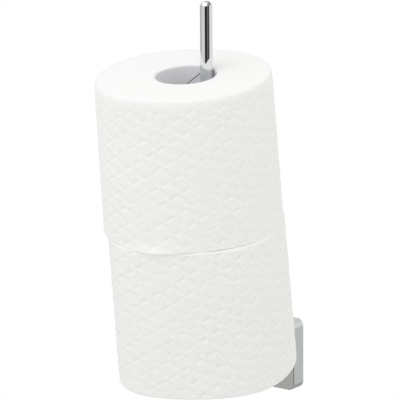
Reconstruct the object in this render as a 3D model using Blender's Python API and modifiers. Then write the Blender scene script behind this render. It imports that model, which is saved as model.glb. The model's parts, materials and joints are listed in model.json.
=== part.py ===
"""Wall holder that stores two spare toilet rolls on an upright bar.

Metres, +Z up. The wall is the plane y = 0 and the holder stands in front of it, towards -Y.
x = 0 is the middle of the bracket, and z = 0 is the axis of the arm where it leaves the bracket.
"""

import math

import bmesh
import bpy
from mathutils import Matrix, Vector

# Clearances
FIT_GAP = 0.0003
OVERRUN = 0.002

# Bracket cover: a rounded square box, open towards the wall
COVER_SIDE = 0.0465
COVER_DEPTH = 0.0105
COVER_CORNER = 0.0047
COVER_EDGE = 0.0006
COVER_WALL = 0.0015
COVER_FRONT = 0.0020

# Boss inside the cover for the grub screw, and the rail that hooks behind the wall plate's lip
BOSS_WIDTH = 0.010
BOSS_HEIGHT = 0.0040
RAIL_WIDTH = 0.022
RAIL_HEIGHT = 0.0016
RAIL_DEPTH = 0.0014

# Wall plate inside the cover, with two countersunk holes for wall screws
PLATE_GAP = 0.0004
PLATE_THICKNESS = 0.0040
PLATE_HOLE_SPACING = 0.027
PLATE_HOLE = 0.0045
PLATE_SINK = 0.0086
PLATE_SINK_DEPTH = 0.0021

# Round bar: an arm out of the bracket, a bend and an upright with a domed top
BAR_DIAMETER = 0.008
BAR_REACH = 0.0725
BAR_BEND = 0.015
BAR_TOP = 0.243
BAR_SOCKET_DEPTH = 0.0010
BAR_BORE_DEPTH = 0.0130

# Screw and washer that draw the bar into its socket
SCREW_DIAMETER = 0.004
SCREW_LENGTH = 0.0120
SCREW_HEAD = 0.0070
SCREW_HEAD_HEIGHT = 0.0026
SCREW_HEX = 0.0025
SCREW_HEX_DEPTH = 0.0014
WASHER_DIAMETER = 0.0090
WASHER_THICKNESS = 0.0008

# Grub screw in the underside of the cover
GRUB_DIAMETER = 0.003
GRUB_LENGTH = 0.005
GRUB_INSET = 0.0034
GRUB_CHAMFER = 0.0004
GRUB_HEX = 0.0015
GRUB_HEX_DEPTH = 0.0018

# Toilet rolls
ROLL_HEIGHT = 0.098
ROLL_DIAMETER = 0.1140
ROLL_EDGE = 0.0010
CORE_BORE = 0.039
CORE_WALL = 0.0008

# How the rolls hang on the bar, leaning away from the wall
ROLL_LEAN = math.radians(6)
LOWER_SIDE_SHIFT = -0.0033
LOWER_COVER_GAP = 0.0017
UPPER_SIDE_SHIFT = -0.0059
UPPER_HOLE_SHIFT = 0.0027

# Facets
CORNER_SEGMENTS = 8
EDGE_SEGMENTS = 3
BEND_STEPS = 14
DOME_STEPS = 6
DOME_TIP_SHARE = 0.06
BAR_BEVEL_RESOLUTION = 10
ROLL_STEPS = 96
ROLL_EDGE_STEPS = 4
SMALL_STEPS = 32
HEX_SIDES = 6
MERGE_DISTANCE = 0.00005
SHARP_EDGE = math.radians(35)
QUARTER_TURN = math.radians(90)

# Turns that lay a shape made along +Z along the arm instead
TOWARDS_ROOM = (QUARTER_TURN, 0, 0)
TOWARDS_WALL = (-QUARTER_TURN, 0, 0)


def clear_scene():
    for obj in list(bpy.data.objects):
        bpy.data.objects.remove(obj, do_unlink=True)


def new_collection(name):
    collection = bpy.data.collections.new(name)
    bpy.context.scene.collection.children.link(collection)
    return collection


def new_material(name, colour, roughness, metallic):
    material = bpy.data.materials.new(name)
    material.use_nodes = True
    shader = material.node_tree.nodes["Principled BSDF"]
    shader.inputs["Base Color"].default_value = (*colour, 1)
    shader.inputs["Roughness"].default_value = roughness
    shader.inputs["Metallic"].default_value = metallic
    material.diffuse_color = (*colour, 1)
    return material


def add_object(name, data, collection, material, location=(0, 0, 0), turn=(0, 0, 0), parent=None):
    obj = bpy.data.objects.new(name, data)
    obj.location = location
    obj.rotation_euler = turn
    obj.parent = parent
    if material:
        obj.data.materials.append(material)
    collection.objects.link(obj)
    return obj


def mesh_from(name, shape):
    """A smooth-shaded mesh of the shape, with its real edges sharp."""
    bmesh.ops.recalc_face_normals(shape, faces=shape.faces)
    mesh = bpy.data.meshes.new(name)
    shape.to_mesh(mesh)
    shape.free()
    mesh.shade_smooth()
    mesh.set_sharp_from_angle(angle=SHARP_EDGE)
    return mesh


def box_shape(width, depth, height):
    shape = bmesh.new()
    bmesh.ops.create_cube(shape, size=1)
    bmesh.ops.scale(shape, verts=shape.verts, vec=(width, depth, height))
    return shape


def bevel(shape, edges, width, segments):
    bmesh.ops.bevel(
        shape, geom=edges, offset=width, offset_type="OFFSET", affect="EDGES",
        segments=segments, profile=0.5, material=-1, clamp_overlap=True,
    )


def runs_along_y(edge):
    run = edge.verts[1].co - edge.verts[0].co
    return abs(run.y) > max(abs(run.x), abs(run.z))


def square_shape(side, depth, corner, front_edge=0):
    """A square slab that faces the room, with round corners and, if asked, a bevelled front edge."""
    shape = box_shape(side, depth, side)
    corners = [edge for edge in shape.edges if runs_along_y(edge)]
    bevel(shape, corners, corner, CORNER_SEGMENTS)
    if front_edge:
        front = min(shape.faces, key=lambda face: face.calc_center_median().y)
        bevel(shape, list(front.edges), front_edge, EDGE_SEGMENTS)
    return shape


def cylinder_shape(diameter, length, sides=SMALL_STEPS):
    shape = bmesh.new()
    radius = diameter / 2
    bmesh.ops.create_cone(
        shape, cap_ends=True, segments=sides, radius1=radius, radius2=radius, depth=length
    )
    return shape


def hex_shape(across_flats, length):
    return cylinder_shape(across_flats / math.cos(math.pi / HEX_SIDES), length, HEX_SIDES)


def turned_mesh(name, profile, closed):
    """The (radius, height) points of a profile that runs down its outer side."""
    mesh = bpy.data.meshes.new(name)
    edges = [(i, i + 1) for i in range(len(profile) - 1)]
    if closed:
        edges.append((len(profile) - 1, 0))
    mesh.from_pydata([(radius, 0, height) for radius, height in profile], edges, [])
    return mesh


def add_turn(obj, steps):
    screw = obj.modifiers.new("Turn", "SCREW")
    screw.steps = steps
    screw.render_steps = steps
    screw.use_merge_vertices = True
    screw.merge_threshold = MERGE_DISTANCE


def as_tool(obj):
    """Marks a helper that shapes other objects and isn't a piece itself."""
    obj.hide_render = True
    obj.display_type = "WIRE"
    return obj


def add_tool(name, shape, tools, location=(0, 0, 0), turn=(0, 0, 0), parent=None):
    return as_tool(add_object(name, mesh_from(name, shape), tools, None, location, turn, parent))


def add_boolean(obj, tool, operation="DIFFERENCE"):
    modifier = obj.modifiers.new(tool.name, "BOOLEAN")
    modifier.operation = operation
    modifier.solver = "EXACT"
    modifier.object = tool


def make_bracket_cover(parts, tools, chrome):
    cover = add_object(
        "bracket_cover",
        mesh_from("bracket_cover", square_shape(COVER_SIDE, COVER_DEPTH, COVER_CORNER, COVER_EDGE)),
        parts, chrome, (0, -COVER_DEPTH / 2, 0),
    )
    inner_side = COVER_SIDE - 2 * COVER_WALL
    inner_depth = COVER_DEPTH - COVER_FRONT
    cavity = square_shape(inner_side, inner_depth + OVERRUN, COVER_CORNER - COVER_WALL)
    add_boolean(cover, add_tool("cover_cavity", cavity, tools, (0, (OVERRUN - inner_depth) / 2, 0)))

    # The boss and the rail each reach halfway into the wall that carries them.
    boss_depth = COVER_DEPTH - COVER_FRONT / 2 - PLATE_GAP
    boss_height = BOSS_HEIGHT + COVER_WALL / 2
    boss_place = (0, -PLATE_GAP - boss_depth / 2, (COVER_WALL + boss_height - COVER_SIDE) / 2)
    boss = box_shape(BOSS_WIDTH, boss_depth, boss_height)
    add_boolean(cover, add_tool("cover_boss", boss, tools, boss_place), "UNION")
    rail_height = RAIL_HEIGHT + COVER_WALL / 2
    rail_place = (0, -FIT_GAP - RAIL_DEPTH / 2, (COVER_SIDE - COVER_WALL - rail_height) / 2)
    rail = box_shape(RAIL_WIDTH, RAIL_DEPTH, rail_height)
    add_boolean(cover, add_tool("cover_rail", rail, tools, rail_place), "UNION")

    socket = cylinder_shape(BAR_DIAMETER + 2 * FIT_GAP, BAR_SOCKET_DEPTH + OVERRUN)
    socket_place = (0, -COVER_DEPTH + (BAR_SOCKET_DEPTH - OVERRUN) / 2, 0)
    add_boolean(cover, add_tool("cover_socket", socket, tools, socket_place, TOWARDS_ROOM))
    screw_hole = cylinder_shape(SCREW_DIAMETER + 2 * FIT_GAP, COVER_FRONT + 2 * OVERRUN)
    hole_place = (0, -COVER_DEPTH + COVER_FRONT / 2, 0)
    add_boolean(cover, add_tool("cover_screw_hole", screw_hole, tools, hole_place, TOWARDS_ROOM))
    grub_hole = cylinder_shape(GRUB_DIAMETER + 2 * FIT_GAP, COVER_WALL + BOSS_HEIGHT + 2 * OVERRUN)
    grub_place = (0, -GRUB_INSET, (COVER_WALL + BOSS_HEIGHT - COVER_SIDE) / 2)
    add_boolean(cover, add_tool("cover_grub_hole", grub_hole, tools, grub_place))


def make_wall_plate(parts, tools, steel):
    side = COVER_SIDE - 2 * (COVER_WALL + PLATE_GAP)
    corner = COVER_CORNER - COVER_WALL - PLATE_GAP
    plate = add_object(
        "wall_plate", mesh_from("wall_plate", square_shape(side, PLATE_THICKNESS, corner)),
        parts, steel, (0, -PLATE_THICKNESS / 2, 0),
    )
    slope = (PLATE_SINK - PLATE_HOLE) / 2 / PLATE_SINK_DEPTH
    far_end = -PLATE_THICKNESS - OVERRUN
    screw_hole = [
        (0, OVERRUN),
        (PLATE_SINK / 2 + OVERRUN * slope, OVERRUN),
        (PLATE_HOLE / 2, -PLATE_SINK_DEPTH),
        (PLATE_HOLE / 2, far_end),
        (0, far_end),
    ]
    for side_name, direction in (("left", -1), ("right", 1)):
        name = "plate_hole_" + side_name
        place = (direction * PLATE_HOLE_SPACING / 2, -PLATE_THICKNESS, 0)
        outline = turned_mesh(name, screw_hole, False)
        hole = as_tool(add_object(name, outline, tools, None, place, TOWARDS_ROOM))
        add_turn(hole, SMALL_STEPS)
        add_boolean(plate, hole)

    # A notch lets the cover's boss in, and a rebate takes its rail behind the lip.
    notch_height = BOSS_HEIGHT + OVERRUN
    notch = box_shape(BOSS_WIDTH + 2 * PLATE_GAP, PLATE_THICKNESS + 2 * OVERRUN, notch_height)
    notch_place = (0, -PLATE_THICKNESS / 2, notch_top() - notch_height / 2)
    add_boolean(plate, add_tool("plate_notch", notch, tools, notch_place))
    rebate_depth = RAIL_DEPTH + 2 * FIT_GAP
    rebate = box_shape(side + 2 * OVERRUN, rebate_depth + OVERRUN, RAIL_HEIGHT + OVERRUN)
    rebate_floor = side / 2 - RAIL_HEIGHT
    rebate_place = (0, (OVERRUN - rebate_depth) / 2, rebate_floor + (RAIL_HEIGHT + OVERRUN) / 2)
    add_boolean(plate, add_tool("plate_rebate", rebate, tools, rebate_place))


def notch_top():
    """Height of the plate's face that the grub screw bears on."""
    return -COVER_SIDE / 2 + COVER_WALL + BOSS_HEIGHT + PLATE_GAP


def bar_path():
    """Points along the bar's middle, each with its share of the full radius."""
    end = -COVER_DEPTH + BAR_SOCKET_DEPTH - FIT_GAP
    bend_y = BAR_BEND - BAR_REACH
    path = [((0, end, 0), 1)]
    for i in range(BEND_STEPS + 1):
        turn = QUARTER_TURN * i / BEND_STEPS
        path.append(((0, bend_y - BAR_BEND * math.sin(turn), BAR_BEND * (1 - math.cos(turn))), 1))
    radius = BAR_DIAMETER / 2
    for i in range(DOME_STEPS):
        rise = QUARTER_TURN * i / DOME_STEPS
        path.append(((0, -BAR_REACH, BAR_TOP - radius * (1 - math.sin(rise))), math.cos(rise)))
    path.append(((0, -BAR_REACH, BAR_TOP), DOME_TIP_SHARE))
    return path


def make_roll_bar(parts, tools, chrome):
    curve = bpy.data.curves.new("roll_bar_path", "CURVE")
    curve.dimensions = "3D"
    curve.bevel_depth = BAR_DIAMETER / 2
    curve.bevel_resolution = BAR_BEVEL_RESOLUTION
    curve.use_fill_caps = True
    path = bar_path()
    spline = curve.splines.new("POLY")
    spline.points.add(len(path) - 1)
    for point, (place, share) in zip(spline.points, path):
        point.co = (*place, 1)
        point.radius = share
    guide = add_object("roll_bar_path", curve, parts, None)
    bpy.context.view_layer.update()
    evaluated = guide.evaluated_get(bpy.context.evaluated_depsgraph_get())
    mesh = bpy.data.meshes.new_from_object(evaluated)
    place = guide.matrix_world.copy()
    bpy.data.objects.remove(guide, do_unlink=True)
    shape = bmesh.new()
    shape.from_mesh(mesh)
    bpy.data.meshes.remove(mesh)
    bmesh.ops.remove_doubles(shape, verts=shape.verts, dist=MERGE_DISTANCE)
    bar = add_object("roll_bar", mesh_from("roll_bar", shape), parts, chrome)
    bar.matrix_world = place

    bore_length = BAR_BORE_DEPTH + OVERRUN
    bore = cylinder_shape(SCREW_DIAMETER + 2 * FIT_GAP, bore_length)
    bore_place = (0, bar_path()[0][0][1] - BAR_BORE_DEPTH + bore_length / 2, 0)
    add_boolean(bar, add_tool("bar_bore", bore, tools, bore_place, TOWARDS_ROOM))


def make_bar_fixing(parts, tools, steel):
    """The screw from inside the cover into the end of the bar, and the washer under its head."""
    inner_face = -COVER_DEPTH + COVER_FRONT
    washer_hole = SCREW_DIAMETER / 2 + FIT_GAP
    ring = [
        (WASHER_DIAMETER / 2, WASHER_THICKNESS),
        (WASHER_DIAMETER / 2, 0),
        (washer_hole, 0),
        (washer_hole, WASHER_THICKNESS),
    ]
    washer_y = inner_face + FIT_GAP
    washer = add_object(
        "bar_washer", turned_mesh("bar_washer", ring, True), parts, steel, (0, washer_y, 0), TOWARDS_WALL
    )
    add_turn(washer, SMALL_STEPS)

    outline = [
        (0, SCREW_HEAD_HEIGHT),
        (SCREW_HEAD / 2, SCREW_HEAD_HEIGHT),
        (SCREW_HEAD / 2, 0),
        (SCREW_DIAMETER / 2, 0),
        (SCREW_DIAMETER / 2, -SCREW_LENGTH),
        (0, -SCREW_LENGTH),
    ]
    screw_y = washer_y + WASHER_THICKNESS + FIT_GAP
    screw = add_object(
        "bar_screw", turned_mesh("bar_screw", outline, False), parts, steel, (0, screw_y, 0), TOWARDS_WALL
    )
    add_turn(screw, SMALL_STEPS)
    hex_y = screw_y + SCREW_HEAD_HEIGHT + (OVERRUN - SCREW_HEX_DEPTH) / 2
    hex_hole = hex_shape(SCREW_HEX, SCREW_HEX_DEPTH + OVERRUN)
    add_boolean(screw, add_tool("bar_screw_hex", hex_hole, tools, (0, hex_y, 0), TOWARDS_WALL))


def make_grub_screw(parts, tools, steel):
    radius = GRUB_DIAMETER / 2
    outline = [
        (0, GRUB_LENGTH),
        (radius - GRUB_CHAMFER, GRUB_LENGTH),
        (radius, GRUB_LENGTH - GRUB_CHAMFER),
        (radius, GRUB_CHAMFER),
        (radius - GRUB_CHAMFER, 0),
        (0, 0),
    ]
    foot = notch_top() - FIT_GAP - GRUB_LENGTH
    grub = add_object(
        "grub_screw", turned_mesh("grub_screw", outline, False), parts, steel, (0, -GRUB_INSET, foot)
    )
    add_turn(grub, SMALL_STEPS)
    hex_hole = hex_shape(GRUB_HEX, GRUB_HEX_DEPTH + OVERRUN)
    hex_place = (0, -GRUB_INSET, foot + (GRUB_HEX_DEPTH - OVERRUN) / 2)
    add_boolean(grub, add_tool("grub_screw_hex", hex_hole, tools, hex_place))


def roll_axis():
    return Vector((0, -math.sin(ROLL_LEAN), math.cos(ROLL_LEAN)))


def lower_core_foot():
    """Middle of the lower core's bottom: it sits on the arm, close in front of the cover."""
    y = -COVER_DEPTH - LOWER_COVER_GAP - ROLL_DIAMETER / 2 * math.cos(ROLL_LEAN)
    reach_over_arm = math.sqrt((CORE_BORE / 2) ** 2 - LOWER_SIDE_SHIFT ** 2)
    z = BAR_DIAMETER / 2 + FIT_GAP - reach_over_arm * math.sin(ROLL_LEAN)
    return Vector((LOWER_SIDE_SHIFT, y, z))


def upper_core_foot():
    """Middle of the upper core's bottom: its top leans on the bar, and it stands on the lower roll."""
    room = CORE_BORE / 2 - BAR_DIAMETER / 2 - FIT_GAP
    off_bar = math.sqrt(room ** 2 - UPPER_SIDE_SHIFT ** 2) * math.cos(ROLL_LEAN)
    foot = Vector((UPPER_SIDE_SHIFT, -BAR_REACH - off_bar, 0))
    foot.y += ROLL_HEIGHT * math.sin(ROLL_LEAN)
    lower_top = lower_core_foot() + roll_axis() * ROLL_HEIGHT
    foot.z = (FIT_GAP - (foot - lower_top).dot(roll_axis())) / math.cos(ROLL_LEAN)
    return foot


def paper_profile():
    """Half outline of a roll of paper, from the middle of its top to the middle of its bottom."""
    radius = ROLL_DIAMETER / 2
    profile = [(0, ROLL_HEIGHT)]
    for top in (True, False):
        for i in range(ROLL_EDGE_STEPS + 1):
            turn = QUARTER_TURN * i / ROLL_EDGE_STEPS
            if top:
                across, down = ROLL_EDGE * (1 - math.sin(turn)), ROLL_EDGE * (1 - math.cos(turn))
                profile.append((radius - across, ROLL_HEIGHT - down))
            else:
                across, rise = ROLL_EDGE * (1 - math.cos(turn)), ROLL_EDGE * (1 - math.sin(turn))
                profile.append((radius - across, rise))
    profile.append((0, 0))
    return profile


def make_roll(name, foot, hole_shift, parts, tools, cardboard, paper):
    """A core with its paper, under an empty on the core's axis.

    hole_shift is how far the hole lies from the middle of the paper, towards the wall.
    """
    axis = bpy.data.objects.new(name + "_axis", None)
    axis.location = foot
    axis.rotation_euler = (ROLL_LEAN, 0, 0)
    parts.objects.link(axis)

    bore = CORE_BORE / 2
    tube = [(bore + CORE_WALL, ROLL_HEIGHT), (bore + CORE_WALL, 0), (bore, 0), (bore, ROLL_HEIGHT)]
    core_name = name + "_core"
    core = add_object(core_name, turned_mesh(core_name, tube, True), parts, cardboard, parent=axis)
    add_turn(core, ROLL_STEPS)

    paper_name = name + "_paper"
    place = (0, -hole_shift, 0)
    roll = add_object(
        paper_name, turned_mesh(paper_name, paper_profile(), False), parts, paper, place, parent=axis
    )
    add_turn(roll, ROLL_STEPS)
    hole = cylinder_shape(CORE_BORE + 2 * (CORE_WALL + FIT_GAP), ROLL_HEIGHT + 2 * OVERRUN, ROLL_STEPS)
    hole_place = (0, 0, ROLL_HEIGHT / 2)
    add_boolean(roll, add_tool(name + "_hole", hole, tools, hole_place, parent=axis))


def main():
    clear_scene()
    parts = new_collection("double_toilet_roll_holder")
    tools = new_collection("cutters")
    chrome = new_material("polished_chrome", (0.78, 0.79, 0.80), 0.08, 1)
    satin = new_material("satin_chrome", (0.62, 0.65, 0.67), 0.25, 1)
    plate_steel = new_material("zinc_plated_steel", (0.55, 0.56, 0.58), 0.4, 1)
    screw_steel = new_material("stainless_steel", (0.50, 0.50, 0.51), 0.3, 1)
    cardboard = new_material("grey_cardboard", (0.60, 0.59, 0.57), 0.9, 0)
    paper = new_material("white_tissue_paper", (0.90, 0.90, 0.89), 0.95, 0)

    make_wall_plate(parts, tools, plate_steel)
    make_bracket_cover(parts, tools, satin)
    make_grub_screw(parts, tools, screw_steel)
    make_roll_bar(parts, tools, chrome)
    make_bar_fixing(parts, tools, screw_steel)
    make_roll("lower", lower_core_foot(), 0, parts, tools, cardboard, paper)
    make_roll("upper", upper_core_foot(), UPPER_HOLE_SHIFT, parts, tools, cardboard, paper)


main()
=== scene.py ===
"""Looks of a wall holder that stores two spare toilet rolls on an upright chrome bar.

Metres, +Z up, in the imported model's frame: the wall is the plane y = 0 and the room lies towards -Y.
Angles round a roll start at its room side and grow towards +X.
"""

import json
import math

import bmesh
import bpy
import numpy as np
from mathutils import Matrix, Vector, noise


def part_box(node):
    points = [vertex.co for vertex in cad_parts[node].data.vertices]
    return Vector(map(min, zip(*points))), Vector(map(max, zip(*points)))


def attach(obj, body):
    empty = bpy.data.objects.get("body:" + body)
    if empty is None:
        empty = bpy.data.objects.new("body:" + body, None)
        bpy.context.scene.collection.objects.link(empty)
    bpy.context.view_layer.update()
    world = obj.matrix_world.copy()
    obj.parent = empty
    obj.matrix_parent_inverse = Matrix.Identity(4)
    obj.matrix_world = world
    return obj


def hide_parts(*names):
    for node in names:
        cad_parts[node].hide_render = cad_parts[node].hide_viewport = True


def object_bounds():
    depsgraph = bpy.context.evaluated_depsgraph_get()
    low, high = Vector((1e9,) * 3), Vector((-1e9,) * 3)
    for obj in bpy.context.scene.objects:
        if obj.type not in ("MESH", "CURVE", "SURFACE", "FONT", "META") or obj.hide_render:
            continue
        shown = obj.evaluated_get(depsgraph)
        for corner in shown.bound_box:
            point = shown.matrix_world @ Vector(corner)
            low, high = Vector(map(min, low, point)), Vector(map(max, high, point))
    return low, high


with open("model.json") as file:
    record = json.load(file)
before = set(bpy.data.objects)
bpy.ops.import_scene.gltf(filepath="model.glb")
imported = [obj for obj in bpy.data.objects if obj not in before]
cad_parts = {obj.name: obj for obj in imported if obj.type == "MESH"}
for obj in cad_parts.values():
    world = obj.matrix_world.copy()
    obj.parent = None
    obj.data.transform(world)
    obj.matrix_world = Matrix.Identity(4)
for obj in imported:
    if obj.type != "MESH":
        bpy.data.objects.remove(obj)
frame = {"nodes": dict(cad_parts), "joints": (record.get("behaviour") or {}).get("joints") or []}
cad_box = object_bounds()

# Camera, as it stood for the photograph. The azimuth is measured from the room side towards +X.
CAMERA_AZIMUTH = math.radians(36.60)
CAMERA_ELEVATION = math.radians(14.03)
CAMERA_ROLL = math.radians(-0.37)
CAMERA_DISTANCE = 2.7717
CAMERA_LENS = 392.8
CAMERA_SENSOR = 36.0
CAMERA_CLIP = 0.01, 100.0
AIM_HEIGHT = 0.100
AIM_RIGHT = -0.00473
AIM_UP = 0.01377

# Tissue paper: quilting pressed as short round-ended grooves along both ways of a slanting grid.
# Each grid has its step along a row, its step to the next row and one of its crossings,
# all as (distance round the roll, height above its foot), and the depth of its grooves.
QUILT_GRIDS = {
    "upper": {
        "along": (0.00818, 0.00485), "across": (0.00475, -0.00894), "crossing": (0.0388, 0.0433),
        "depth": 0.00041,
    },
    "lower": {
        "along": (0.00856, 0.00511), "across": (0.00495, -0.00883), "crossing": (0.0401, 0.0422),
        "depth": 0.00053,
    },
}

# A groove's straight length, the reach of its walls to either side, how far it wavers off the grid,
# and the share by which its depth varies
GROOVE_STRAIGHT = 0.0039
GROOVE_REACH = 0.0015
GROOVE_WAVER = 0.00038
GROOVE_VARIES = 0.80

# How far the paper is crowned between its grooves, and the share of white painted on their upward walls as
# a painted highlight of the light from above
PILLOW_CROWN = 0.00015
WALL_HIGHLIGHT_SHARE = 0.33

# Foot of the upper roll's outer sheet, spread out where it rests on the lower roll
FLARE_ANGLE = math.radians(10)
FLARE_WIDTH = math.radians(26)
FLARE_HEIGHT = 0.0065
FLARE_REACH = 0.0028
FLARE_DROP = 0.0003

# Rolls pressed a little out of round in their pack: shares of the radius with the ways they point,
# the change of radius from foot to top all round and on the skewed side alone,
# and how far the paper stands off the solid's middle
SKEWED_WAY = math.radians(122)
PRESSED_SHAPES = {
    "upper": {
        "swell": 0.00018, "oval": 0.0076, "oval_way": math.radians(64.0),
        "square": 0.0113, "square_way": math.radians(-22.4), "taper": -0.0010, "skew": 0.0,
        "off_middle": (-0.00012, -0.00022),
    },
    "lower": {
        "swell": 0.00027, "oval": 0.0081, "oval_way": math.radians(-10.1),
        "square": 0.0323, "square_way": math.radians(-20.7), "taper": 0.0, "skew": -0.0018,
        "off_middle": (0.00035, -0.00051),
    },
}

# Rounded rims of the paper: how far each reaches inwards and up or down the side
PAPER_RIMS = {
    "upper": {"foot": (0.0004, 0.0004), "top": (0.0014, 0.0052)},
    "lower": {"foot": (0.0015, 0.0015), "top": (0.0016, 0.0016)},
}

# Edge of a roll's hole: its gap to the core, its small rim, and the ring in which the paper lies flat
HOLE_GAP = 0.00005
HOLE_RIM = 0.00012
HOLE_REACH = 0.0036

# Waves in the paper, broad and fine, as heights and distances, and those of the layers on its ends
PAPER_UNEVEN = 0.00016
PAPER_UNEVEN_SCALE = 0.016
PAPER_CRUMPLE = 0.00022
PAPER_CRUMPLE_SCALE = 0.0025
LAYER_UNEVEN = 0.00010
LAYER_PITCH = 0.0011

# The outer sheet ends in a step of its thickness, on the side away from the camera.
SHEET_THICKNESS = 0.00035
SHEET_END_ANGLES = {"upper": math.radians(-128), "lower": math.radians(-152)}

# Round its hole a roll's top has sunk, and its core with it. The lowest part of its paper has settled.
TOP_SUNK = 0.00055
SETTLED = 0.0003
SETTLED_REACH = 0.004

# Turned shapes are repeated from this many sectors, which divide their steps.
SECTORS = 8

# Points closer than these are one: in a turned shape, and in a copy of a solid.
SEAM_DISTANCE = 0.000001
WELD_DISTANCE = 0.000005

# Faces of a solid that bend less than this are one, and edges that bend more than these stay hard.
FLAT_BEND = math.radians(0.5)
PAPER_SHARP = math.radians(75)
TURNED_SHARP = math.radians(50)
SOLID_SHARP = math.radians(35)

# How finely a roll of paper is divided
ROLL_STEPS = 560
SIDE_STEPS = 148
FOOT_RIM_STEPS = 4
TOP_RIM_STEPS = 6
TOP_STEPS = 9
UNDERSIDE_STEPS = 5
HOLE_RIM_STEPS = 2

# A face lies on a roll's end where its normal points further along the core than this.
END_FACING = 0.7

# Cardboard core: one strip wound as a steep left-handed spiral, with an open joint between its turns
CORE_STEPS = 360
CORE_ROWS = 70
CORE_TOP_RECESS = 0.0001
CORE_RIM = 0.00015
STRIP_CLIMB = math.radians(38)
STRIP_JOINT_DEPTH = 0.00060
# Faces within this many columns of a joint take the darker ply: partly its own colour, partly painted
# shade of the open joint.
JOINT_SHADE_COLUMNS = 2
STRIP_JOINT_ANGLE = {"upper": math.radians(168), "lower": math.radians(40)}

# Bar, with the share of its radius at which its dome is closed
BAR_SIDES = 72
BAR_BEND = 0.015
BEND_STEPS = 28
DOME_STEPS = 14
DOME_TIP = 0.02
BAR_BORE = 0.0046
BAR_BORE_DEPTH = 0.0130


def smooth_step(values):
    """0 below 0 and 1 above 1, with a soft rise between."""
    values = np.clip(values, 0.0, 1.0)
    return values * values * (3 - 2 * values)


# Bodies of the rolls, read from the frame


def roll_facts(name):
    """Where a roll stands and what it measures.

    Its place matrix has +Z up the core and +Y towards the wall.
    """
    joint = next(j for j in frame["joints"] if j["name"] == name + "_turn")
    up = Vector(joint["axis"]).normalized()
    side = Vector((1, 0, 0))
    place = Matrix((side, up.cross(side), up)).transposed().to_4x4()
    place.translation = joint["pos_m"]
    back = place.inverted()
    core = [back @ v.co for v in frame["nodes"][name + "_core"].data.vertices]
    paper = [back @ v.co for v in frame["nodes"][name + "_paper"].data.vertices]
    spans = [(min(p[i] for p in paper), max(p[i] for p in paper)) for i in range(3)]
    return {
        "name": name,
        "foot_rim": PAPER_RIMS[name]["foot"],
        "top_rim": PAPER_RIMS[name]["top"],
        "place": place,
        "height": spans[2][1],
        "radius": (spans[0][1] - spans[0][0]) / 2,
        "middle": (sum(spans[0]) / 2, sum(spans[1]) / 2),
        "bore": min(math.hypot(p.x, p.y) for p in core),
        "core_radius": max(math.hypot(p.x, p.y) for p in core),
    }


# Mesh tools


def points_of(geometry):
    return [item for item in geometry if isinstance(item, bmesh.types.BMVert)]


def turned_shape(profile, steps):
    """The closed (radius, height) outline turned once round Z: one sector is spun, then repeated."""
    shape = bmesh.new()
    points = [shape.verts.new((radius, 0, height)) for radius, height in profile]
    edges = [shape.edges.new(pair) for pair in zip(points, points[1:] + points[:1])]
    bmesh.ops.spin(
        shape, geom=points + edges, cent=(0, 0, 0), axis=(0, 0, 1), dvec=(0, 0, 0),
        angle=math.tau / SECTORS, steps=steps // SECTORS, use_merge=False, use_duplicate=False,
    )
    sector = shape.verts[:] + shape.edges[:] + shape.faces[:]
    for i in range(1, SECTORS):
        turn = Matrix.Rotation(math.tau * i / SECTORS, 3, "Z")
        copied = points_of(bmesh.ops.duplicate(shape, geom=sector)["geom"])
        bmesh.ops.rotate(shape, verts=copied, cent=(0, 0, 0), matrix=turn)
    bmesh.ops.remove_doubles(shape, verts=shape.verts, dist=SEAM_DISTANCE)
    bmesh.ops.recalc_face_normals(shape, faces=shape.faces)
    return shape


def arc_points(centre, radius, start, end, steps):
    """Points of an arc in the (radius, height) plane, both ends included."""
    angles = [start + (end - start) * i / steps for i in range(steps + 1)]
    return [(centre[0] + radius * math.cos(a), centre[1] + radius * math.sin(a)) for a in angles]


def rim_points(centre, rim, start, end, steps):
    """Points of a rim that may reach further along the side than inwards, both ends included."""
    return [
        tuple(middle + reach * share for middle, reach, share in zip(centre, rim, point))
        for point in arc_points((0, 0), 1, start, end, steps)
    ]


def between(start, end, steps):
    """Points that divide a straight line evenly, without its ends."""
    return [tuple(a + (b - a) * i / steps for a, b in zip(start, end)) for i in range(1, steps)]


def as_mesh(name, shape):
    mesh = bpy.data.meshes.new(name)
    shape.to_mesh(mesh)
    shape.free()
    return mesh


def finish_piece(mesh, material, body, replaced, sharp):
    """Makes a mesh that lies in its place a piece on a body, instead of the replaced nodes."""
    mesh.shade_smooth()
    mesh.set_sharp_from_angle(angle=sharp)
    piece = bpy.data.objects.new(mesh.name, mesh)
    bpy.context.scene.collection.objects.link(piece)
    mesh.materials.append(material)
    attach(piece, body)
    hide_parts(*replaced)
    return piece


def read_points(mesh):
    points = np.empty(len(mesh.vertices) * 3)
    mesh.vertices.foreach_get("co", points)
    return points.reshape(-1, 3)


def move_points(mesh, points):
    mesh.vertices.foreach_set("co", points.ravel())
    mesh.update()


def round_angles(points):
    """Angles round Z, from the room side towards +X."""
    return np.arctan2(points[:, 0], -points[:, 1])


def noise_at(points, scale, seed):
    """Smooth noise from -1 to 1, with features about one scale across."""
    return np.array([noise.noise(Vector(point)) for point in points / scale + seed])


# Paper


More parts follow.
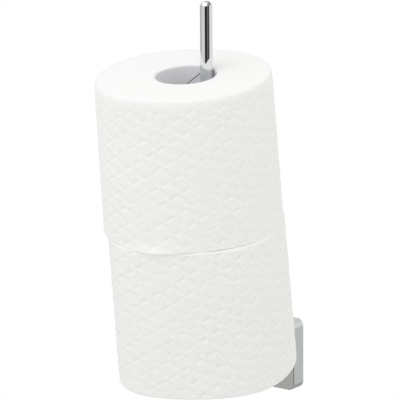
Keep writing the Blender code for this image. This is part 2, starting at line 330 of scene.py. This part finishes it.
def paper_outline(roll):
    """Outline of half a roll of paper, from the top of its hole outwards, down, and back up the hole."""
    side, top = roll["radius"], roll["height"]
    foot_in, foot_up = roll["foot_rim"]
    top_in, top_down = roll["top_rim"]
    quarter = math.pi / 2
    inner = roll["core_radius"] + HOLE_GAP + HOLE_RIM
    outline = arc_points((inner, top - HOLE_RIM), HOLE_RIM, 2 * quarter, quarter, HOLE_RIM_STEPS)
    outline += between((inner, top), (side - top_in, top), TOP_STEPS)
    outline += rim_points((side - top_in, top - top_down), roll["top_rim"], quarter, 0, TOP_RIM_STEPS)
    outline += between((side, top - top_down), (side, foot_up), SIDE_STEPS)
    outline += rim_points((side - foot_in, foot_up), roll["foot_rim"], 0, -quarter, FOOT_RIM_STEPS)
    outline += between((side - foot_in, 0), (inner, 0), UNDERSIDE_STEPS)
    outline += arc_points((inner, HOLE_RIM), HOLE_RIM, -quarter, -2 * quarter, HOLE_RIM_STEPS)
    return outline


def groove_shares(grid, around, heights):
    """Shares at each point of the paper's face: of its grooves, of a painted highlight on their upward
    walls, and of its hollows.
    """
    along, across = np.array(grid["along"]), np.array(grid["across"])
    places = np.column_stack((around, heights)) - np.array(grid["crossing"])
    cells = places @ np.linalg.inv(np.array((along, across)))
    deepest, wall_highlight = np.zeros(len(places)), np.zeros(len(places))
    for step, half in ((along, (0.5, 0.0)), (across, (0.0, 0.5))):
        off = cells - half
        off -= np.round(off)
        away = off[:, :1] * along + off[:, 1:] * across
        way = step / np.hypot(*step)
        on_line = np.clip(away @ way, -GROOVE_STRAIGHT / 2, GROOVE_STRAIGHT / 2)
        from_line = away - on_line[:, None] * way
        distance = np.hypot(from_line[:, 0], from_line[:, 1])
        nearness = np.clip(1 - distance / GROOVE_REACH, 0.0, 1.0)
        # Painted highlight: the side of a groove below its line faces up, and its share here whitens it as
        # if lit from above.
        below = np.maximum(0.0, -from_line[:, 1]) / np.maximum(distance, SEAM_DISTANCE)
        deepest = np.maximum(deepest, smooth_step(nearness))
        wall_highlight = np.maximum(wall_highlight, 4 * nearness * (1 - nearness) * below)
    crown = np.abs(np.sin(math.pi * cells[:, 0]) * np.sin(math.pi * cells[:, 1]))
    return deepest, wall_highlight, 1 - crown


def way_out(roll, radii, heights):
    """The way out of the paper at each point, as shares outwards and upwards."""
    foot_in, foot_up = roll["foot_rim"]
    top_in, top_down = roll["top_rim"]
    top, side = roll["height"], roll["radius"]
    inwards = np.where(heights > top / 2, top_in, foot_in)
    outwards = np.maximum(0.0, radii - side + inwards) / inwards ** 2
    upwards = np.maximum(0.0, heights - (top - top_down)) / top_down ** 2
    upwards -= np.maximum(0.0, foot_up - heights) / foot_up ** 2

    # On the side of the hole both are zero, and any length serves.
    length = np.maximum(np.hypot(outwards, upwards), 1.0)
    return outwards / length, upwards / length


def out_of_round(roll, angles, heights):
    """How far the pressed section stands out from the round one."""
    pressed = PRESSED_SHAPES[roll["name"]]
    shape = pressed["oval"] * np.cos(2 * (angles - pressed["oval_way"]))
    shape += pressed["square"] * np.cos(4 * (angles - pressed["square_way"]))
    skewed = pressed["skew"] * np.maximum(0.0, np.cos(angles - SKEWED_WAY)) ** 2
    rise = heights / roll["height"] - 0.5
    return pressed["swell"] + roll["radius"] * shape + (pressed["taper"] + skewed) * rise


def flare_shares(angles, heights):
    """Share of the spread foot at each point: full at the foot, in the middle of its arc."""
    off = np.abs((angles - FLARE_ANGLE + math.pi) % math.tau - math.pi)
    return np.clip(1 - heights / FLARE_HEIGHT, 0.0, 1.0) ** 2 * smooth_step(1 - off / FLARE_WIDTH)


def press_paper(mesh, roll):
    """Shapes a round blank: quilting on the side, uneven layers, and a section pressed out of round."""
    name = roll["name"]
    top, side, hole = roll["height"], roll["radius"], roll["core_radius"] + HOLE_GAP
    points = read_points(mesh)
    radii = np.hypot(points[:, 0], points[:, 1])
    angles = round_angles(points)
    heights = points[:, 2].copy()
    seed = np.array((0.0, 0.0, roll["place"].translation.z / PAPER_UNEVEN_SCALE))
    outwards, upwards = way_out(roll, radii, heights)
    side_share = outwards ** 2
    clear = smooth_step((radii - hole) / HOLE_REACH)

    end_angle = SHEET_END_ANGLES[name]
    past_end = (angles - end_angle) % math.tau
    uneven = noise_at(points, PAPER_UNEVEN_SCALE, seed)
    crumple = noise_at(points, PAPER_CRUMPLE_SCALE, seed)
    around = side * (end_angle + past_end)
    waver = GROOVE_WAVER * crumple
    grid = QUILT_GRIDS[name]
    grooves, wall_highlight, hollows = groove_shares(grid, around + waver, heights - waver)
    strength = side_share * (1 + GROOVE_VARIES * uneven)
    sunk = clear * (PAPER_UNEVEN * uneven + side_share * PAPER_CRUMPLE * crumple)
    sunk += side_share * SHEET_THICKNESS * (0.5 - past_end / math.tau)
    sunk += grid["depth"] * grooves * strength
    sunk += side_share * PILLOW_CROWN * hollows
    wound = np.column_stack((radii / LAYER_PITCH, 2 * np.cos(angles), 2 * np.sin(angles)))
    sunk += (1 - side_share) * clear * LAYER_UNEVEN * noise_at(wound, 1.0, seed)

    settled = SETTLED * clear * smooth_step(1 - heights / SETTLED_REACH)
    winding = np.clip((radii - hole) / (side - hole), 0.0, 1.0)
    settled += TOP_SUNK * (1 - winding) * smooth_step(heights / top)
    grown = out_of_round(roll, angles, heights)
    if name == "upper":
        spread = flare_shares(angles, heights)
        grown += FLARE_REACH * spread
        settled += FLARE_DROP * spread * winding
    radii = radii + winding * grown - sunk * outwards
    shift = np.array(roll["middle"]) + np.array(PRESSED_SHAPES[name]["off_middle"])
    points[:, 0] = radii * np.sin(angles) + winding * shift[0]
    points[:, 1] = -radii * np.cos(angles) + winding * shift[1]
    points[:, 2] = heights - sunk * upwards - settled
    move_points(mesh, points)
    # The painted highlight on the grooves' upward walls goes to the material as an attribute.
    wall_highlight_shares = mesh.attributes.new("painted_wall_highlight", "FLOAT", "POINT")
    wall_highlight_shares.data.foreach_set("value", wall_highlight * strength)


def lay_winding_map(mesh, roll):
    """UV map in metres: round the roll, and up its side or out along its faces."""
    points = read_points(mesh)
    faces = len(mesh.polygons)
    corners = np.empty(len(mesh.loops), dtype=np.int32)
    mesh.loops.foreach_get("vertex_index", corners)
    normals = np.empty(faces * 3)
    mesh.polygons.foreach_get("normal", normals)
    sizes = np.empty(faces, dtype=np.int32)
    mesh.polygons.foreach_get("loop_total", sizes)
    starts = np.empty(faces, dtype=np.int32)
    mesh.polygons.foreach_get("loop_start", starts)
    end_angle = SHEET_END_ANGLES[roll["name"]]
    angles = (end_angle + (round_angles(points) - end_angle) % math.tau)[corners]
    angles += math.tau * np.round((np.repeat(angles[starts], sizes) - angles) / math.tau)
    on_end = np.repeat(np.abs(normals.reshape(-1, 3)[:, 2]) > END_FACING, sizes)
    radii = np.hypot(points[:, 0], points[:, 1])[corners]
    rises = np.where(on_end, radii, points[corners, 2])
    layer = mesh.uv_layers.new(name="winding")
    layer.uv.foreach_set("vector", np.column_stack((angles * roll["radius"], rises)).ravel())


def make_paper(roll, material):
    name = roll["name"] + "_paper"
    mesh = as_mesh(name + "_roll", turned_shape(paper_outline(roll), ROLL_STEPS))
    lay_winding_map(mesh, roll)
    press_paper(mesh, roll)
    mesh.transform(roll["place"])
    finish_piece(mesh, material, name, [name], PAPER_SHARP)


# Cardboard cores


def core_outline(roll):
    bore, outside = roll["bore"], roll["core_radius"]
    top = roll["height"] - TOP_SUNK - CORE_TOP_RECESS
    rim = CORE_RIM
    outline = [(bore, rim), (bore + rim, 0), (outside - rim, 0), (outside, rim)]
    outline += between((outside, rim), (outside, top - rim), CORE_ROWS)
    outline += [(outside, top - rim), (outside - rim, top), (bore + rim, top), (bore, top - rim)]
    outline += between((bore, top - rim), (bore, rim), CORE_ROWS)
    return outline


def make_core(roll, material, ply_and_joint_shade_material):
    name = roll["name"] + "_core"
    mesh = as_mesh(name + "_tube", turned_shape(core_outline(roll), CORE_STEPS))
    points = read_points(mesh)
    radii = np.hypot(points[:, 0], points[:, 1])
    angles = round_angles(points)
    inner = radii < (roll["bore"] + roll["core_radius"]) / 2
    column = math.tau / CORE_STEPS
    joint = column * round(STRIP_JOINT_ANGLE[roll["name"]] / column) + column / 2

    # The inner and outer plies have their joints on opposite sides.
    off = (angles - np.where(inner, joint, joint + math.pi) + math.pi) % math.tau - math.pi
    radii += np.where(np.abs(off) < column, np.where(inner, STRIP_JOINT_DEPTH, -STRIP_JOINT_DEPTH), 0.0)
    angles -= (points[:, 2] - roll["height"]) / (roll["bore"] * math.tan(STRIP_CLIMB))
    points[:, 0] = radii * np.sin(angles)
    points[:, 1] = -radii * np.cos(angles)
    move_points(mesh, points)
    mesh.transform(roll["place"])
    corners = np.empty(len(mesh.loops), dtype=np.int32)
    mesh.loops.foreach_get("vertex_index", corners)
    # Faces in and beside the joint take the second material: the darker ply's own colour, with painted
    # shade of the recess.
    sunk = (np.abs(off) < JOINT_SHADE_COLUMNS * column)[corners].reshape(-1, 4).all(axis=1)
    finish_piece(mesh, material, name, [name], TURNED_SHARP)
    mesh.materials.append(ply_and_joint_shade_material)
    mesh.polygons.foreach_set("material_index", sunk.astype(np.int32))


# Bar and bracket


def make_bar(material):
    low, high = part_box("roll_bar")
    radius = (high.x - low.x) / 2
    upright_y = low.y + radius
    arm_z = low.z + radius
    bend_start_y = upright_y + BAR_BEND
    dome_start = high.z - radius

    shape = bmesh.new()
    bmesh.ops.create_circle(shape, cap_ends=True, segments=BAR_SIDES, radius=radius)
    bmesh.ops.rotate(shape, verts=shape.verts, matrix=Matrix.Rotation(math.radians(90), 3, "X"))
    bmesh.ops.translate(shape, verts=shape.verts, vec=(0, high.y, arm_z))
    end_face = shape.faces[:]
    ring = shape.edges[:]
    ring = extrude_ring(shape, ring, Matrix.Translation((0, bend_start_y - high.y, 0)))
    bend_centre = Vector((0, bend_start_y, arm_z + BAR_BEND))
    made = bmesh.ops.spin(
        shape, geom=ring + ring_points(ring), cent=bend_centre, axis=(1, 0, 0), dvec=(0, 0, 0),
        angle=-math.radians(90), steps=BEND_STEPS, use_merge=False, use_duplicate=False,
    )["geom_last"]
    ring = [e for e in made if isinstance(e, bmesh.types.BMEdge)]
    ring = extrude_ring(shape, ring, Matrix.Translation((0, 0, dome_start - bend_centre.z)))
    for i in range(1, DOME_STEPS + 1):
        before, after = (math.radians(90) * step / DOME_STEPS for step in (i - 1, i))
        grown = max(math.cos(after), DOME_TIP) / math.cos(before)
        middle = sum((v.co for v in ring_points(ring)), Vector()) / BAR_SIDES
        smaller = Matrix.Diagonal((grown, grown, 1, 1)) @ Matrix.Translation(-middle)
        rise = radius * (math.sin(after) - math.sin(before))
        raised = Matrix.Translation(middle + Vector((0, 0, rise)))
        ring = extrude_ring(shape, ring, raised @ smaller)
    bmesh.ops.contextual_create(shape, geom=ring)
    bore_the_end(shape, end_face, radius)
    bmesh.ops.recalc_face_normals(shape, faces=shape.faces)
    mesh = as_mesh("chrome_bar", shape)
    finish_piece(mesh, material, "holder", ["roll_bar"], TURNED_SHARP)


def ring_points(ring):
    return list({v for edge in ring for v in edge.verts})


def extrude_ring(shape, ring, move):
    """Extrudes a loop of edges, moves the new loop and gives its edges."""
    made = bmesh.ops.extrude_edge_only(shape, edges=ring)["geom"]
    new_points = points_of(made)
    bmesh.ops.transform(shape, matrix=move, verts=new_points)
    new_points = set(new_points)
    return [g for g in made if isinstance(g, bmesh.types.BMEdge) and set(g.verts) <= new_points]


def bore_the_end(shape, end_face, radius):
    """Sinks the screw's bore into the end of the bar."""
    bmesh.ops.inset_region(shape, faces=end_face, thickness=radius - BAR_BORE / 2, depth=0)
    bored = bmesh.ops.extrude_face_region(shape, geom=end_face)["geom"]
    bmesh.ops.delete(shape, geom=end_face, context="FACES")
    bmesh.ops.translate(shape, verts=points_of(bored), vec=(0, -BAR_BORE_DEPTH, 0))


def refine_node(node, name, material):
    """A smooth-shaded copy of a CAD node, with its flat faces whole."""
    shape = bmesh.new()
    shape.from_mesh(frame["nodes"][node].data)
    bmesh.ops.remove_doubles(shape, verts=shape.verts, dist=WELD_DISTANCE)
    bmesh.ops.dissolve_limit(shape, angle_limit=FLAT_BEND, verts=shape.verts, edges=shape.edges)
    piece = finish_piece(as_mesh(name, shape), material, "holder", [node], SOLID_SHARP)
    weighted = piece.modifiers.new("Flat faces stay flat", "WEIGHTED_NORMAL")
    weighted.keep_sharp = True


# Materials: linear colours, with the light and the dark between which fibres tint them

PAPER_WHITE = (0.90, 0.90, 0.883)
PAPER_ROUGHNESS = 0.95
PAPER_SPECULAR = 0.15
WALL_HIGHLIGHT_WHITE = (1, 1, 0.98, 1)
# White of the painted highlight on the grooves' upward walls
CREPING = {
    "Stretch": (900, 520, 1), "Fine": 2.6,
    "Light": (0.915, 0.915, 0.898, 1), "Dark": (0.89, 0.89, 0.873, 1),
}
LAYER_EDGES = {
    "Stretch": (120, 1900, 1), "Fine": 1.7,
    "Light": (0.92, 0.92, 0.92, 1), "Dark": (0.89, 0.89, 0.89, 1),
}
# The creping gives way to the layers' edges between these two steepnesses.
END_STEEPNESS = 0.6, 0.9

BOARD_SPECULAR = 0.25
BOARD_FIBRES = {"Stretch": (500, 500, 900), "Fine": 4.0}
BOARD_GLOSS = {"Middle": 0.88, "Drift": 0.1, "Scale": 90.0}
BOARD_TINTS = {"light": (0.92, 0.92, 0.945), "dark": (0.83, 0.83, 0.855)}
# Darker ply in the joints, which also stands as painted shade over each open joint and its edges
PLY_AND_JOINT_SHADE_TINTS = {"light": (0.40, 0.39, 0.38), "dark": (0.34, 0.33, 0.32)}

# Metals: their roughness drifts round its middle, over 1 / scale metres.
SPECK_SCALE = 900.0
METALS = {
    "mirror_chrome": {
        "colour": (0.78, 0.79, 0.80), "middle": 0.045, "drift": 0.03, "scale": 60.0, "bump": 0.0,
    },
    "soft_chrome": {
        "colour": (0.70, 0.735, 0.73), "middle": 0.13, "drift": 0.04, "scale": 60.0, "bump": 0.03,
    },
    "zinc_plated_steel": {
        "colour": (0.55, 0.56, 0.58), "middle": 0.42, "drift": 0.25, "scale": 140.0, "bump": 0.15,
    },
    "stainless_steel": {
        "colour": (0.50, 0.50, 0.51), "middle": 0.32, "drift": 0.15, "scale": 200.0, "bump": 0.2,
    },
}

# Bumps: strength, unless the metal has its own, and height in metres
PAPER_BUMP = 0.5, 0.00016
BOARD_BUMP = 0.4, 0.00008
METAL_BUMP_HEIGHT = 0.00002


def add_node(tree, kind, inputs=None, **settings):
    """A shader node. Each input is given a value, or the output socket that feeds it."""
    node = tree.nodes.new("ShaderNode" + kind)
    for name, value in settings.items():
        setattr(node, name, value)
    for key, value in (inputs or {}).items():
        if isinstance(value, bpy.types.NodeSocket):
            tree.links.new(value, node.inputs[key])
        else:
            node.inputs[key].default_value = value
    return node


def new_material(name, roughness, metallic, colour):
    material = bpy.data.materials.new(name)
    material.use_nodes = True
    shader = material.node_tree.nodes["Principled BSDF"]
    shader.inputs["Roughness"].default_value = roughness
    shader.inputs["Metallic"].default_value = metallic
    shader.inputs["Base Color"].default_value = (*colour, 1)
    return material, material.node_tree, shader


def new_group(name, inputs, outputs):
    """An empty node group with its input and output nodes. Inputs are (name, kind, value)."""
    tree = bpy.data.node_groups.new(name, "ShaderNodeTree")
    for socket, kind, value in inputs:
        made = tree.interface.new_socket(socket, in_out="INPUT", socket_type="NodeSocket" + kind)
        if value is not None:
            made.default_value = value
    for socket, kind in outputs:
        tree.interface.new_socket(socket, in_out="OUTPUT", socket_type="NodeSocket" + kind)
    return tree, tree.nodes.new("NodeGroupInput"), tree.nodes.new("NodeGroupOutput")


def use_group(tree, group, inputs):
    node = tree.nodes.new("ShaderNodeGroup")
    node.node_tree = group
    for key, value in inputs.items():
        if isinstance(value, bpy.types.NodeSocket):
            tree.links.new(value, node.inputs[key])
        else:
            node.inputs[key].default_value = value
    return node


def scaled_noise(tree, vector, scale, detail=2.0, roughness=0.5):
    """Noise whose features are about 1 / scale metres apart, from 0 to 1."""
    inputs = {"Vector": vector, "Scale": scale, "Detail": detail, "Roughness": roughness}
    return add_node(tree, "TexNoise", inputs).outputs["Fac"]


def make_wear_group():
    """Soft handling marks: a value that drifts round its middle, with fine specks on top."""
    tree, given, result = new_group(
        "handling_marks",
        [("Vector", "Vector", None), ("Middle", "Float", 0.2), ("Drift", "Float", 0.1),
         ("Scale", "Float", 60.0), ("Speck Scale", "Float", SPECK_SCALE)],
        [("Value", "Float"), ("Specks", "Float")],
    )
    broad = scaled_noise(tree, given.outputs["Vector"], given.outputs["Scale"], 3.0)
    fine = scaled_noise(tree, given.outputs["Vector"], given.outputs["Speck Scale"], 1.0)
    both = add_node(tree, "Math", {0: broad, 1: fine}, operation="ADD")
    centred = add_node(tree, "Math", {0: both.outputs[0], 1: 1.0}, operation="SUBTRACT")
    drifted = add_node(
        tree, "Math", {0: centred.outputs[0], 1: given.outputs["Drift"], 2: given.outputs["Middle"]},
        operation="MULTIPLY_ADD",
    )
    tree.links.new(drifted.outputs[0], result.inputs["Value"])
    tree.links.new(fine, result.inputs["Specks"])
    return tree


def make_fibre_group():
    """Fibres pulled along one way of a surface: their height, and a tint that follows them."""
    tree, given, result = new_group(
        "fibres",
        [("Vector", "Vector", None), ("Stretch", "Vector", (1.0, 1.0, 1.0)), ("Fine", "Float", 2.0),
         ("Light", "Color", (1, 1, 1, 1)), ("Dark", "Color", (0.9, 0.9, 0.9, 1))],
        [("Height", "Float"), ("Color", "Color")],
    )
    stretched = add_node(
        tree, "VectorMath", {0: given.outputs["Vector"], 1: given.outputs["Stretch"]}, operation="MULTIPLY"
    )
    coarse = scaled_noise(tree, stretched.outputs[0], 1.0, 4.0, 0.6)
    fine = scaled_noise(tree, stretched.outputs[0], given.outputs["Fine"], 2.0)
    height = add_node(tree, "Math", {0: coarse, 1: fine}, operation="ADD")
    tint = add_node(
        tree, "Mix", {0: coarse, 6: given.outputs["Dark"], 7: given.outputs["Light"]}, data_type="RGBA"
    )
    tree.links.new(height.outputs[0], result.inputs["Height"])
    tree.links.new(tint.outputs[2], result.inputs["Color"])
    return tree


def object_place(tree):
    return add_node(tree, "TexCoord").outputs["Object"]


def add_bump(tree, shader, height, strength, distance):
    bump = add_node(tree, "Bump", {"Height": height, "Strength": strength, "Distance": distance})
    tree.links.new(bump.outputs["Normal"], shader.inputs["Normal"])


def make_paper_material(fibres):
    """Soft white tissue: creping across the sheet on the side, the edges of the layers on the ends, and a
    painted highlight on the upward walls of the grooves.
    """
    material, tree, shader = new_material("quilted_tissue", PAPER_ROUGHNESS, 0.0, PAPER_WHITE)
    shader.inputs["Specular IOR Level"].default_value = PAPER_SPECULAR
    winding = add_node(tree, "UVMap", uv_map="winding").outputs["UV"]
    creping = use_group(tree, fibres, {"Vector": winding, **CREPING})
    layers = use_group(tree, fibres, {"Vector": winding, **LAYER_EDGES})

    # The ends of the rolls face along the cores, which are nearly upright.
    normal = add_node(tree, "NewGeometry").outputs["True Normal"]
    upward = add_node(tree, "SeparateXYZ", {0: normal}).outputs["Z"]
    steepness = add_node(tree, "Math", {0: upward}, operation="ABSOLUTE").outputs[0]
    side, end = END_STEEPNESS
    on_end = add_node(tree, "MapRange", {0: steepness, 1: side, 2: end}).outputs[0]
    colour = add_node(
        tree, "Mix", {0: on_end, 6: creping.outputs["Color"], 7: layers.outputs["Color"]}, data_type="RGBA"
    )
    height = add_node(tree, "Mix", {0: on_end, 2: creping.outputs["Height"], 3: layers.outputs["Height"]})

    # Painted highlight: the upward walls of the grooves are lifted towards white, standing in for light
    # from above.
    wall_highlight = add_node(tree, "Attribute", attribute_name="painted_wall_highlight").outputs["Fac"]
    share = add_node(tree, "Math", {0: wall_highlight, 1: WALL_HIGHLIGHT_SHARE}, operation="MULTIPLY").outputs[0]
    highlighted = add_node(tree, "Mix", {0: share, 6: colour.outputs[2], 7: WALL_HIGHLIGHT_WHITE}, data_type="RGBA")
    tree.links.new(highlighted.outputs[2], shader.inputs["Base Color"])
    add_bump(tree, shader, height.outputs[0], *PAPER_BUMP)
    return material


def make_cardboard_material(name, fibres, marks, light, dark):
    material, tree, shader = new_material(name, BOARD_GLOSS["Middle"], 0.0, light)
    shader.inputs["Specular IOR Level"].default_value = BOARD_SPECULAR
    place = object_place(tree)
    tints = {"Light": (*light, 1), "Dark": (*dark, 1)}
    board = use_group(tree, fibres, {"Vector": place, **BOARD_FIBRES, **tints})
    rough = use_group(tree, marks, {"Vector": place, **BOARD_GLOSS})
    tree.links.new(board.outputs["Color"], shader.inputs["Base Color"])
    tree.links.new(rough.outputs["Value"], shader.inputs["Roughness"])
    add_bump(tree, shader, board.outputs["Height"], *BOARD_BUMP)
    return material


def make_metal(name, marks):
    """A metal whose gloss drifts with handling."""
    metal = METALS[name]
    material, tree, shader = new_material(name, metal["middle"], 1.0, metal["colour"])
    worn = use_group(tree, marks, {
        "Vector": object_place(tree), "Middle": metal["middle"], "Drift": metal["drift"],
        "Scale": metal["scale"],
    })
    tree.links.new(worn.outputs["Value"], shader.inputs["Roughness"])
    if metal["bump"]:
        add_bump(tree, shader, worn.outputs["Specks"], metal["bump"], METAL_BUMP_HEIGHT)
    return material


# Studio

FLOOR_DROP = 0.40
FLOOR_RADIUS = 1.1
FLOOR_SIDES = 96
FLOOR_COLOUR = (0.88, 0.88, 0.875)
FLOOR_ROUGHNESS = 0.8
FLOOR_GLOW = 0.22
ROOM_LIGHT = 0.864
GLOSS_BACKGROUND = 0.78

# Lamps: height above the level and way round from the room side towards +X, distance, side, watts, colour
SOFTBOXES = {
    "overhead_softbox": {
        "climb": math.radians(60), "way": math.radians(-10), "distance": 0.9, "side": 0.7,
        "power": 1.33, "colour": (1.0, 1.0, 1.0), "in_gloss": True,
    },
    "left_fill": {
        "climb": math.radians(25), "way": math.radians(-10), "distance": 0.6, "side": 0.45,
        "power": 0.15, "colour": (1.0, 1.0, 1.0), "in_gloss": False,
    },
    "right_fill": {
        "climb": math.radians(48), "way": math.radians(106), "distance": 0.6, "side": 0.4,
        "power": 0.22, "colour": (0.90, 1.0, 0.61), "in_gloss": False,
    },
}

# Studio cards that only gloss sees, between two angles right of the camera and two heights.
# They stand the common distance off the bar, unless their foot or their top edge has its own.
CARD_DISTANCE = 0.9
CARD_STEPS = 12
CARDS = {
    "left_grey_card": {"span": (-150, -106), "low": -0.12, "high": 0.62, "shade": (0.52, 0.52, 0.52)},
    "left_pale_card": {"span": (-106, -82), "low": -0.12, "high": 0.62, "shade": (0.65, 0.65, 0.65)},
    "left_low_card": {"span": (-110, -40), "low": -0.60, "high": -0.12, "shade": (0.515, 0.49, 0.47)},
    "high_white_card": {"span": (-150, 13), "low": 0.62, "high": 3.0, "shade": (1.15, 1.15, 1.15)},
    "dark_card": {"span": (-28, 13), "low": -0.50, "high": 0.62, "shade": (0.025, 0.023, 0.02)},
    "grey_strip": {"span": (13, 28), "low": -0.50, "high": 0.75, "shade": (0.20, 0.19, 0.175)},
    "dark_flag": {"span": (28, 56), "low": -0.50, "high": 0.95, "shade": (0.07, 0.07, 0.07)},
    "white_card": {"span": (66, 165), "low": -0.14, "high": 0.48, "shade": (0.88, 0.88, 0.88)},
    "low_card": {"span": (66, 165), "low": -0.60, "high": -0.14, "shade": (0.64, 0.645, 0.645)},
    "near_dark_flag": {
        "span": (30, 165), "low": 0.35, "high": 0.62, "shade": (0.26, 0.26, 0.26),
        "foot": 0.25, "top": 0.25,
    },
    "floor_card": {
        "span": (-180, 180), "low": -0.38, "high": -0.38, "shade": (0.42, 0.42, 0.42), "foot": 0.03,
    },
}


def make_world():
    """An even white room. The camera sees it pure white, and gloss sees it a little grey."""
    world = bpy.data.worlds.new("studio_room")
    bpy.context.scene.world = world
    world.use_nodes = True
    tree = world.node_tree
    tree.nodes.clear()
    path = add_node(tree, "LightPath").outputs
    room, gloss, white = (
        add_node(tree, "Background", {"Color": (1, 1, 1, 1), "Strength": strength}).outputs[0]
        for strength in (ROOM_LIGHT, GLOSS_BACKGROUND, 1.0)
    )
    lit = add_node(tree, "MixShader", {0: path["Is Glossy Ray"], 1: room, 2: gloss}).outputs[0]
    rays = {0: path["Is Camera Ray"], 1: path["Is Transmission Ray"]}
    seen = add_node(tree, "Math", rays, operation="MAXIMUM").outputs[0]
    shown = add_node(tree, "MixShader", {0: seen, 1: lit, 2: white}).outputs[0]
    result = add_node(tree, "OutputWorld")
    tree.links.new(shown, result.inputs["Surface"])


def make_floor():
    """A pale round floor that keeps the soft shadow of the rolls."""
    low, high = cad_box
    shape = bmesh.new()
    bmesh.ops.create_circle(shape, cap_ends=True, segments=FLOOR_SIDES, radius=FLOOR_RADIUS)
    bmesh.ops.translate(shape, verts=shape.verts, vec=(0, (low.y + high.y) / 2, low.z - FLOOR_DROP))
    floor = bpy.data.objects.new("studio_floor", as_mesh("studio_floor", shape))
    bpy.context.scene.collection.objects.link(floor)
    material, tree, shader = new_material("pale_floor", FLOOR_ROUGHNESS, 0.0, FLOOR_COLOUR)
    seen = add_node(tree, "LightPath").outputs["Is Camera Ray"]
    glow = add_node(tree, "Math", {0: seen, 1: FLOOR_GLOW}, operation="MULTIPLY").outputs[0]
    shader.inputs["Emission Color"].default_value = (1, 1, 1, 1)
    tree.links.new(glow, shader.inputs["Emission Strength"])
    floor.data.materials.append(material)


def bar_axis_y():
    low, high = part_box("roll_bar")
    return low.y + (high.x - low.x) / 2


def make_card(name, span, low, high, shade, foot=CARD_DISTANCE, top=CARD_DISTANCE):
    """A curved card round the bar that only gloss sees."""
    start, end = (math.radians(angle) for angle in span)
    turn = CAMERA_AZIMUTH + start
    middle = Vector((0, bar_axis_y(), 0))
    out = Vector((math.sin(turn), -math.cos(turn), 0))
    ends = middle + out * foot, middle + out * top
    shape = bmesh.new()
    points = [shape.verts.new((end.x, end.y, height)) for end, height in zip(ends, (low, high))]
    edge = shape.edges.new(points)
    bmesh.ops.spin(
        shape, geom=points + [edge], cent=middle, axis=(0, 0, 1), dvec=(0, 0, 0),
        angle=end - start, steps=CARD_STEPS, use_merge=False, use_duplicate=False,
    )
    card = bpy.data.objects.new(name, as_mesh(name, shape))
    bpy.context.scene.collection.objects.link(card)
    material = bpy.data.materials.new(name + "_face")
    material.use_nodes = True
    tree = material.node_tree
    tree.nodes.clear()
    face = add_node(tree, "Emission", {"Color": (*shade, 1), "Strength": 1.0})
    result = add_node(tree, "OutputMaterial")
    tree.links.new(face.outputs[0], result.inputs["Surface"])
    card.data.materials.append(material)
    card.visible_camera = False
    card.visible_diffuse = False
    card.visible_shadow = False
    card.visible_transmission = False


def make_softbox(name, climb, way, distance, side, power, colour, in_gloss):
    light = bpy.data.lights.new(name, "AREA")
    light.shape = "SQUARE"
    light.size = side
    light.energy = power
    light.color = colour
    softbox = bpy.data.objects.new(name, light)
    bpy.context.scene.collection.objects.link(softbox)
    out = Vector((math.sin(way) * math.cos(climb), -math.cos(way) * math.cos(climb), math.sin(climb)))
    softbox.location = (cad_box[0] + cad_box[1]) / 2 + out * distance
    softbox.rotation_euler = out.to_track_quat("Z", "Y").to_euler()
    softbox.visible_glossy = in_gloss


def make_camera():
    camera = bpy.data.objects.new("camera", bpy.data.cameras.new("camera"))
    bpy.context.scene.collection.objects.link(camera)
    azimuth, elevation = CAMERA_AZIMUTH, CAMERA_ELEVATION
    level_back = Vector((math.sin(azimuth), -math.cos(azimuth), 0))
    level_right = Vector((math.cos(azimuth), math.sin(azimuth), 0))
    back = level_back * math.cos(elevation) + Vector((0, 0, math.sin(elevation)))
    turn = Matrix.Rotation(CAMERA_ROLL, 3, back)
    right = turn @ level_right
    up = back.cross(right)
    aim = Vector((0, bar_axis_y(), AIM_HEIGHT)) + right * AIM_RIGHT + up * AIM_UP
    camera.matrix_world = Matrix.Translation(aim + back * CAMERA_DISTANCE) @ Matrix(
        (right, up, back)
    ).transposed().to_4x4()
    camera.data.lens = CAMERA_LENS
    camera.data.sensor_width = CAMERA_SENSOR
    camera.data.clip_start, camera.data.clip_end = CAMERA_CLIP
    bpy.context.scene.camera = camera


def main():
    bpy.context.scene.view_settings.view_transform = "Standard"
    make_camera()
    make_world()
    make_floor()
    for name, softbox in SOFTBOXES.items():
        make_softbox(name, **softbox)
    for name, card in CARDS.items():
        make_card(name, **card)

    marks = make_wear_group()
    fibres = make_fibre_group()
    paper = make_paper_material(fibres)
    cardboard = make_cardboard_material("grey_core_board", fibres, marks, **BOARD_TINTS)
    ply_and_joint_shade = make_cardboard_material("dark_ply_and_joint_shade", fibres, marks, **PLY_AND_JOINT_SHADE_TINTS)
    chrome, satin, zinc, stainless = (make_metal(name, marks) for name in METALS)

    for name in ("lower", "upper"):
        roll = roll_facts(name)
        make_paper(roll, paper)
        make_core(roll, cardboard, ply_and_joint_shade)
    make_bar(chrome)
    refine_node("bracket_cover", "bracket_cover_shell", satin)
    refine_node("wall_plate", "wall_plate_steel", zinc)
    for node in ("grub_screw", "bar_washer", "bar_screw"):
        refine_node(node, node + "_steel", stainless)


main()
